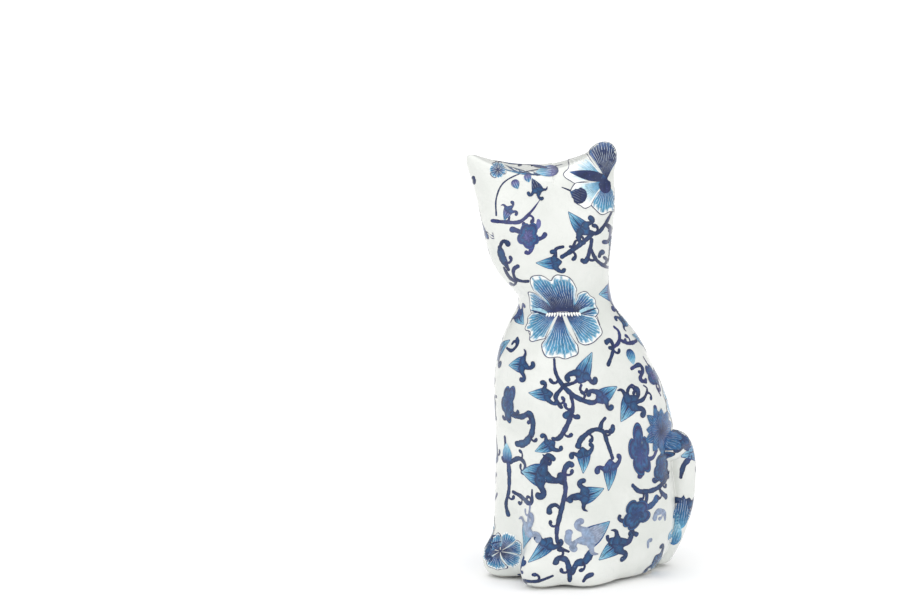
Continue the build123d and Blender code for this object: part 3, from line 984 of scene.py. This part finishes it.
def print_right_side():
    """The flank, neck and haunch on the cat's right."""
    on = Sheet(FLANK)
    on.put(peony(22, seed=6), (-13, 190), -20)
    on.put(peony(24, seed=8), (-39, 84), 3)
    on.star((23, 179), -80, 1.1)
    on.star((28, 211), -80, 1.15)
    on.vine([(33, 196), (39, 197), (37, 187), (36, 171), (41, 159), (49, 157)],
            (1.6, 1.5, 1.3, 1.3, 1.3, 1.2))
    on.vine([(31, 166), (34, 171), (39, 162)], (1.7, 1.6, 1.2))
    on.vine([(43, 156), (40, 145), (40, 139)], (1.4, 1.7, 1.6))
    on.put([pointed(13, 4, LEAF_STOPS)], (47, 150), 185)
    on.bell((51, 145), -40, 1.1)
    on.vine([(4, 158), (10, 157), (18, 162)], (0.9, 1.3, 1.5))
    on.vine([(11, 156), (8, 149), (9, 146)], (1.2, 1.6, 1.6))
    on.vine([(16, 158), (19, 150), (22, 143)], (1.3, 1.4, 1.7))
    on.bell((23, 141), 190, 1.15)
    on.vine([(-42, 118), (-39, 133), (-31, 143), (-19, 151)], (0.8, 1.3, 1.4, 1.2))
    on.vine([(-32, 143), (-30, 154), (-31, 164)], (1.1, 1.3, 0.9))
    on.vine([(-29, 145), (-25, 153), (-26, 159)], (1.1, 1.1, 1.6))
    on.vine([(-39, 133), (-44, 138), (-42, 143)], (1.1, 1.3, 1.4))
    on.bell((-17, 151), -95)
    on.bell((-28, 135), 200, 1.2)
    on.vine([(-6, 96), (-3, 106), (4, 110), (15, 110), (24, 101), (28, 84)], (0.8, 1.6, 1.7, 1.7, 1.5, 1.2))
    on.vine([(22, 103), (34, 108), (47, 113), (57, 120)], (1.1, 1.5, 1.4, 0.9))
    on.cloud((-1, 123), 30, 13, 10, seed=31)
    on.cloud((10, 119), -40, 9, 8, seed=32)
    on.cloud((10, 100), 20, 9, 8, seed=33)
    on.cloud((19, 93), -50, 10, 9, seed=34)
    on.cloud((46, 128), 10, 11, 9, seed=35)
    on.cloud((39, 118), 60, 9, 8, seed=36)
    on.cloud((50, 107), -20, 9, 8, seed=37)
    on.put(lotus(26, seed=5), (24, 65), 5)
    on.cloud((-2, 84), -10, 13, 9, INDIGO, LILAC, seed=38)
    on.cloud((-7, 65), 20, 12, 9, INDIGO, LILAC, seed=39)
    on.vine([(-26, 47), (-24, 38), (-15, 38), (-8, 42)], (1.6, 1.4, 1.4, 1.6))
    on.vine([(-19, 38), (-16, 24), (-17, 15), (-11, 5)], (1.2, 1.7, 1.7, 1.6))
    on.vine([(-15, 30), (-10, 19), (-5, 16)], (1.1, 1.4, 1.7))
    on.star((-9, 42), -75, 1.4)
    on.star((-20, 14), 95, 1.5)
    on.star((13, 24), -70, 1.1)
    on.bell((9, 2), 30)
    on.bell((26, -8), 8, 1.25)
    on.put(peony(19, seed=12), (42, 22), 5)
    on.vine([(44, 53), (47, 46), (44, 38)], (0.9, 1.2, 1.6))
    on.vine([(57, 53), (55, 47), (50, 43), (47, 38)], (0.9, 1.2, 1.2, 1.4))
    on.vine([(50, 80), (47, 86), (53, 87), (55, 76), (50, 70)], (1.8, 1.7, 1.3, 2.0, 2.0))
    on.bell((63, 15), -60, 1.2)
    on.vine([(-61, 89), (-61, 80), (-59, 75)], (0.8, 1.8, 1.2))
    on.vine([(-58, 59), (-62, 55), (-62, 42), (-58, 38)], (1.0, 1.6, 1.6, 1.4))
    on.star((-40, 40), 170)
    on.cloud((-53, 19), 20, 12, 7, seed=41)
    on.vine([(-55, 38), (-50, 32), (-51, 24)], (0.9, 1.5, 1.5))
    on.vine([(-51, 11), (-50, 2), (-46, -2)], (1.0, 1.4, 1.2))
    on.put([pointed(11, 3, LEAF_STOPS)], (-31, -4), 25)
    on.put([pointed(14, 3, LEAF_STOPS)], (-16, -8), 80)
    on.vine([(-11, 12), (-2, 4), (3, -3)], (0.7, 0.9, 0.8))


def print_nape():
    """The far side of the head."""
    on = Sheet(FLANK, "head_print")
    on.vine([(10, 219), (10, 236), (6, 248), (1, 257)], (0.9, 1.3, 1.4, 1.0), INDIGO)
    on.vine([(6, 248), (10, 257), (16, 262), (21, 265)], (1.1, 1.2, 1.3, 0.9), INDIGO)
    on.vine([(8, 238), (2, 241), (-2, 244)], (1.1, 1.2, 1.4), INDIGO)
    on.vine([(10, 233), (13, 236), (16, 237)], (1.0, 1.2, 1.2), INDIGO)
    on.vine([(1, 257), (-5, 253), (-8, 255)], (1.0, 1.4, 1.8), INDIGO)
    on.star((-7, 263), 70, 1.0, LILAC, VIOLET_STOPS)
    on.star((26, 266), -70, 1.05, INDIGO)
    on.star((-6, 235), 130, 0.95, INDIGO)
    on.cloud((23, 237), -40, 8, 8, seed=51)
    on.cloud((46, 259), -60, 12, 8, INDIGO, LILAC, seed=52)
    on.cloud((55, 236), 10, 11, 8, INDIGO, BLUE, seed=53)
    on.vine([(44, 255), (51, 251), (56, 241)], (1.2, 1.3, 1.3), INDIGO)
    on.bell((38, 279), -70, 0.9)
    rear = Sheet(View(215), "head_print")
    rear.put(peony(18, seed=14), (-8, 262), 10)
    rear.vine([(-6, 240), (-2, 226), (8, 216), (20, 214)], STEM)
    rear.bell((14, 226), -50, 0.9)
    rear.star((-26, 232), 70, 0.9)
    rear.cloud((24, 262), -20, 9, 7, seed=55)


def print_back():
    """The strip down the back between the two flanks."""
    on = Sheet(BACK)
    on.vine([(2, 196), (-6, 176), (4, 158), (-4, 140), (6, 122)], STEM)
    on.bell((8, 168), -60, 1.1)
    on.bell((-10, 150), 70, 1.1)
    on.vine([(2, 158), (14, 160), (18, 152)], BUD)
    on.put(peony(22, seed=17), (-2, 104), -8)
    on.cloud((22, 134), -25, 12, 8, seed=61)
    on.cloud((-27, 128), 30, 11, 8, INDIGO, LILAC, seed=62)
    on.vine([(-4, 78), (-10, 64), (-2, 48), (-12, 32), (-8, 20)], STEM)
    on.star((-14, 62), 80, 1.2)
    on.star((2, 44), -75, 1.2)
    on.bell((-18, 28), 150, 1.1)
    on.cloud((-34, 84), 10, 11, 8, seed=63)
    on.vine([(-30, 60), (-40, 52), (-36, 42)], TWO_BUDS)
    on.put(small_flower(10, seed=8), (2, 22))


# ---------------------------------------------------------------------------------------------
# Materials
# ---------------------------------------------------------------------------------------------
class Nodes:
    """Short names for the shader nodes of one material."""

    def __init__(self, name):
        self.material = bpy.data.materials.new(name)
        self.material.use_nodes = True
        self.tree = self.material.node_tree
        self.shader = self.tree.nodes["Principled BSDF"]
        self.place = self.add("ShaderNodeTexCoord").outputs["Object"]

    def add(self, kind, inputs=None, **settings):
        node = self.tree.nodes.new(kind)
        for key, value in settings.items():
            setattr(node, key, value)
        for key, value in (inputs or {}).items():
            if isinstance(value, bpy.types.NodeSocket):
                self.tree.links.new(value, node.inputs[key])
            else:
                node.inputs[key].default_value = value
        return node

    def noise(self, size_mm, detail=3.0, rough=0.55, warp=0.0):
        """Smooth random values whose features are about size_mm across."""
        inputs = {"Vector": self.place, "Scale": 1000 / size_mm, "Detail": detail, "Roughness": rough,
                  "Distortion": warp}
        return self.add("ShaderNodeTexNoise", inputs).outputs[0]

    def math(self, operation, a, b=0.5, c=0.5):
        return self.add("ShaderNodeMath", {0: a, 1: b, 2: c}, operation=operation).outputs[0]

    def span(self, value, low, high, to_low=0.0, to_high=1.0, smooth=False):
        inputs = {"Value": value, "From Min": low, "From Max": high, "To Min": to_low, "To Max": to_high}
        kind = "SMOOTHSTEP" if smooth else "LINEAR"
        return self.add("ShaderNodeMapRange", inputs, interpolation_type=kind).outputs["Result"]

    def mix(self, share, a, b, blend="MIX"):
        node = self.add("ShaderNodeMix", data_type="RGBA", blend_type=blend)
        for key, value in ((0, share), (6, a), (7, b)):
            if isinstance(value, bpy.types.NodeSocket):
                self.tree.links.new(value, node.inputs[key])
            else:
                node.inputs[key].default_value = value
        return node.outputs[2]

    def bump(self, height, depth_mm):
        inputs = {"Height": height, "Distance": depth_mm * MM}
        return self.add("ShaderNodeBump", inputs).outputs[0]

    def use(self, **sockets):
        for key, value in sockets.items():
            name = key.replace("_", " ")
            if isinstance(value, bpy.types.NodeSocket):
                self.tree.links.new(value, self.shader.inputs[name])
            else:
                self.shader.inputs[name].default_value = value
        return self.material


def colour(r, g, b):
    return (*ink(r, g, b), 1.0)


def glaze_surface(n, relief):
    """The glossy, slightly rippled clear glaze that lies over skin and print alike."""
    ripple = n.noise(14, 2.0)
    brushed = n.noise(2.6, 3.0, 0.6, 0.6)
    height = n.math("ADD", ripple, n.math("MULTIPLY", brushed, 0.10))
    if relief is not None:
        height = n.math("ADD", height, relief)
    return {
        "Roughness": n.span(n.noise(22, 4.0), 0.3, 0.7, 0.17, 0.27),
        "Normal": n.bump(height, 0.55),
        "Specular_IOR_Level": 0.35,
        "Coat_Weight": 0.32,
        "Coat_Roughness": 0.07,
        "Coat_IOR": 1.5,
    }


def skin_material():
    n = Nodes("white_glaze")
    broad = n.span(n.noise(45, 3.0), 0.35, 0.65)
    base = n.mix(broad, colour(214, 217, 212), colour(225, 227, 223))
    veil = n.span(n.noise(7, 5.0, 0.65, 1.2), 0.55, 0.85, 0.0, 0.5)
    base = n.mix(veil, base, colour(203, 209, 205))
    speck = n.span(n.noise(0.9, 2.0), 0.76, 0.80, 0.0, 0.35)
    base = n.mix(speck, base, colour(196, 192, 180))
    # paper wrinkles: thin ridges where one noise field passes its middle value
    crease = n.math("ABSOLUTE", n.math("SUBTRACT", n.noise(11, 3.0, 0.6, 1.5), 0.5))
    crease = n.span(crease, 0.0, 0.03, 0.10, 0.0, smooth=True)
    return n.use(Base_Color=base, **glaze_surface(n, crease))


def print_material():
    n = Nodes("blue_print")
    ink_node = n.add("ShaderNodeAttribute", attribute_name="ink")
    grain = n.add("ShaderNodeAttribute", attribute_name="grain").outputs["Vector"]
    across, along, strength = n.add("ShaderNodeSeparateXYZ", {0: grain}).outputs
    painted = ink_node.outputs["Color"]
    # washes of violet and of clearer blue, the width of a petal
    violet = n.span(n.noise(17, 2.0), 0.54, 0.74, 0.0, 0.22)
    lightness = n.add("ShaderNodeRGBToBW", {0: painted}).outputs[0]
    coloured = n.span(lightness, 0.55, 0.80, 1.0, 0.0)
    painted = n.mix(n.math("MULTIPLY", violet, coloured), painted, colour(88, 84, 150))
    wash = n.span(n.noise(3.2, 4.0, 0.6, 0.8), 0.30, 0.72, 0.70, 1.45)
    grey = n.add("ShaderNodeCombineColor", {0: wash, 1: wash, 2: wash}).outputs[0]
    wash = n.mix(coloured, (1, 1, 1, 1), grey)
    painted = n.mix(1.0, painted, wash, "MULTIPLY")
    # fine pale veins that run up each petal, broken and uneven
    sway = n.math("MULTIPLY", n.math("SUBTRACT", n.noise(6, 2.0), 0.5), 1.6)
    phase = n.math("MULTIPLY", n.math("ADD", across, sway), 0.62)
    line = n.math("PINGPONG", phase, 0.5)
    line = n.span(line, 0.33, 0.46, 0.0, 1.0, smooth=True)
    broken = n.span(n.noise(3.4, 3.0, 0.6), 0.34, 0.52, 0.0, 1.0)
    zone = n.math("MULTIPLY", n.span(along, 0.10, 0.45), n.span(along, 1.0, 0.80))
    veins = n.math("MULTIPLY", n.math("MULTIPLY", line, broken), n.math("MULTIPLY", zone, strength))
    painted = n.mix(n.math("MULTIPLY", veins, 0.68), painted, colour(214, 228, 236))
    # pinholes and worn flecks where the pale glaze shows through
    fleck = n.span(n.noise(1.5, 4.0, 0.7), 0.66, 0.74, 0.0, 0.7)
    painted = n.mix(n.math("MULTIPLY", fleck, coloured), painted, colour(176, 192, 214))
    return n.use(Base_Color=painted, **glaze_surface(n, None))


def clay_material():
    n = Nodes("bare_clay")
    base = n.mix(n.span(n.noise(16, 4.0), 0.35, 0.65), colour(212, 205, 192), colour(226, 221, 210))
    base = n.mix(n.span(n.noise(1.1, 3.0), 0.66, 0.76, 0.0, 0.6), base, colour(168, 156, 138))
    return n.use(Base_Color=base, Roughness=n.span(n.noise(9, 3.0), 0.3, 0.7, 0.72, 0.9),
                 Normal=n.bump(n.noise(1.6, 5.0, 0.65), 0.25))


def stopper_material():
    n = Nodes("soft_stopper")
    base = n.mix(n.span(n.noise(5, 3.0), 0.35, 0.65), colour(202, 202, 196), colour(214, 214, 209))
    return n.use(Base_Color=base, Roughness=n.span(n.noise(4, 3.0), 0.3, 0.7, 0.5, 0.66),
                 Normal=n.bump(n.noise(0.8, 3.0), 0.05))


def felt_material():
    n = Nodes("felt")
    base = n.mix(n.span(n.noise(2.2, 5.0, 0.7), 0.35, 0.65), colour(196, 192, 184), colour(222, 219, 212))
    return n.use(Base_Color=base, Roughness=0.95, Normal=n.bump(n.noise(0.5, 4.0, 0.7, 1.0), 0.3))


# ---------------------------------------------------------------------------------------------
# Stage, light and camera
# ---------------------------------------------------------------------------------------------
VIEW_TURN = math.radians(50.0)
VIEW_RISE = math.radians(13.0)
VIEW_DISTANCE = 7.0
FRAME_WIDTH = 0.630       # what the picture's width spans at the object
AIM = (-0.0910, 0.188)    # the middle of the picture, right of and above the origin
FLOOR_HALF = 6.0
ROOM_BRIGHT_SIDE = (0.62, -0.52, 0.59)
ROOM_SPREAD = (-0.55, 0.65, 0.38, 1.10)


def look_at(obj, target):
    obj.rotation_euler = (Vector(target) - obj.location).to_track_quat("-Z", "Y").to_euler()


def add_camera():
    data = bpy.data.cameras.new("camera")
    camera = bpy.data.objects.new("camera", data)
    bpy.context.scene.collection.objects.link(camera)
    right = Vector((math.cos(VIEW_TURN), math.sin(VIEW_TURN), 0))
    toward = Vector((math.sin(VIEW_TURN) * math.cos(VIEW_RISE), -math.cos(VIEW_TURN) * math.cos(VIEW_RISE),
                     math.sin(VIEW_RISE)))
    up = toward.cross(right)
    target = right * AIM[0] + up * AIM[1]
    camera.location = target + toward * VIEW_DISTANCE
    look_at(camera, target)
    data.sensor_width = 36.0
    data.lens = data.sensor_width * VIEW_DISTANCE / FRAME_WIDTH
    data.clip_end = 50
    bpy.context.scene.camera = camera


def add_area(name, place, size, power):
    data = bpy.data.lights.new(name, "AREA")
    data.shape = "RECTANGLE"
    data.size, data.size_y = size
    data.energy = power
    light = bpy.data.objects.new(name, data)
    light.location = place
    bpy.context.scene.collection.objects.link(light)
    look_at(light, (0, 0, 0.15))


def add_stage():
    bpy.context.scene.view_settings.view_transform = "Standard"
    mesh = bpy.data.meshes.new("floor")
    w = FLOOR_HALF
    corners = [(-w, -w, 0), (w, -w, 0), (w, w, 0), (-w, w, 0)]
    mesh.from_pydata(corners, [], [(0, 1, 2, 3)])
    floor = bpy.data.objects.new("floor", mesh)
    bpy.context.scene.collection.objects.link(floor)
    material = bpy.data.materials.new("floor_paper")
    material.use_nodes = True
    shader = material.node_tree.nodes["Principled BSDF"]
    shader.inputs["Base Color"].default_value = (0.95, 0.95, 0.95, 1)
    shader.inputs["Roughness"].default_value = 0.9
    mesh.materials.append(material)
    world = bpy.data.worlds.new("soft_room")
    bpy.context.scene.world = world
    world.use_nodes = True
    # a white room, brightest on the side the picture is taken from and dimmer behind the cat
    tree = world.node_tree
    heading = tree.nodes.new("ShaderNodeVectorMath")
    heading.operation = "DOT_PRODUCT"
    heading.inputs[1].default_value = ROOM_BRIGHT_SIDE
    spread = tree.nodes.new("ShaderNodeMapRange")
    for socket, value in zip(("From Min", "From Max", "To Min", "To Max"), ROOM_SPREAD):
        spread.inputs[socket].default_value = value
    tree.links.new(tree.nodes.new("ShaderNodeTexCoord").outputs["Generated"], heading.inputs[0])
    tree.links.new(heading.outputs["Value"], spread.inputs["Value"])
    seen = tree.nodes.new("ShaderNodeMath")
    seen.operation = "MAXIMUM"
    tree.links.new(spread.outputs["Result"], seen.inputs[0])
    tree.links.new(tree.nodes.new("ShaderNodeLightPath").outputs["Is Camera Ray"], seen.inputs[1])
    tree.links.new(seen.outputs["Value"], tree.nodes["Background"].inputs["Strength"])
    tree.nodes["Background"].inputs["Color"].default_value = (1.0, 1.0, 1.0, 1)


def add_lights():
    right = Vector((math.cos(VIEW_TURN), math.sin(VIEW_TURN), 0))
    toward = Vector((math.sin(VIEW_TURN), -math.cos(VIEW_TURN), 0))
    above = Vector((0, 0, 1))
    add_area("key", toward * 0.9 - right * 1.0 + above * 0.9, (0.9, 1.1), 2.5)
    add_area("fill", toward * 1.0 + right * 1.3 + above * 0.5, (1.2, 1.2), 1.5)
    add_area("top", above * 2.6 - toward * 1.0, (4.0, 4.0), 40)


# ---------------------------------------------------------------------------------------------
# The whole scene
# ---------------------------------------------------------------------------------------------
def build():
    skin, printed = skin_material(), print_material()
    pieces = build_skin(skin)
    for name, node in (("body_glaze", "body_shell"), ("head_glaze", "head_shell"), ("tail_glaze", "tail")):
        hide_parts(node)
    print_face()
    print_nape()
    print_chest()
    print_right_side()
    print_back()
    print_tail()
    vertices = np.empty(len(pieces["body_glaze"].data.vertices) * 3)
    pieces["body_glaze"].data.vertices.foreach_get("co", vertices)
    head_vertices = np.empty(len(pieces["head_glaze"].data.vertices) * 3)
    pieces["head_glaze"].data.vertices.foreach_get("co", head_vertices)
    fill_bare_spots(np.concatenate([vertices, head_vertices]).reshape(-1, 3) / MM)
    for name in laid:
        pieces[name] = print_piece(name, printed)
    for piece in pieces.values():
        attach(piece, "root")
    for node, material in (("base_plate", clay_material()), ("vent_stopper", stopper_material()),
                           ("felt_pads", felt_material())):
        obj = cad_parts[node]
        for slot in obj.material_slots:
            slot.material = material
    add_stage()
    add_lights()
    add_camera()


build()
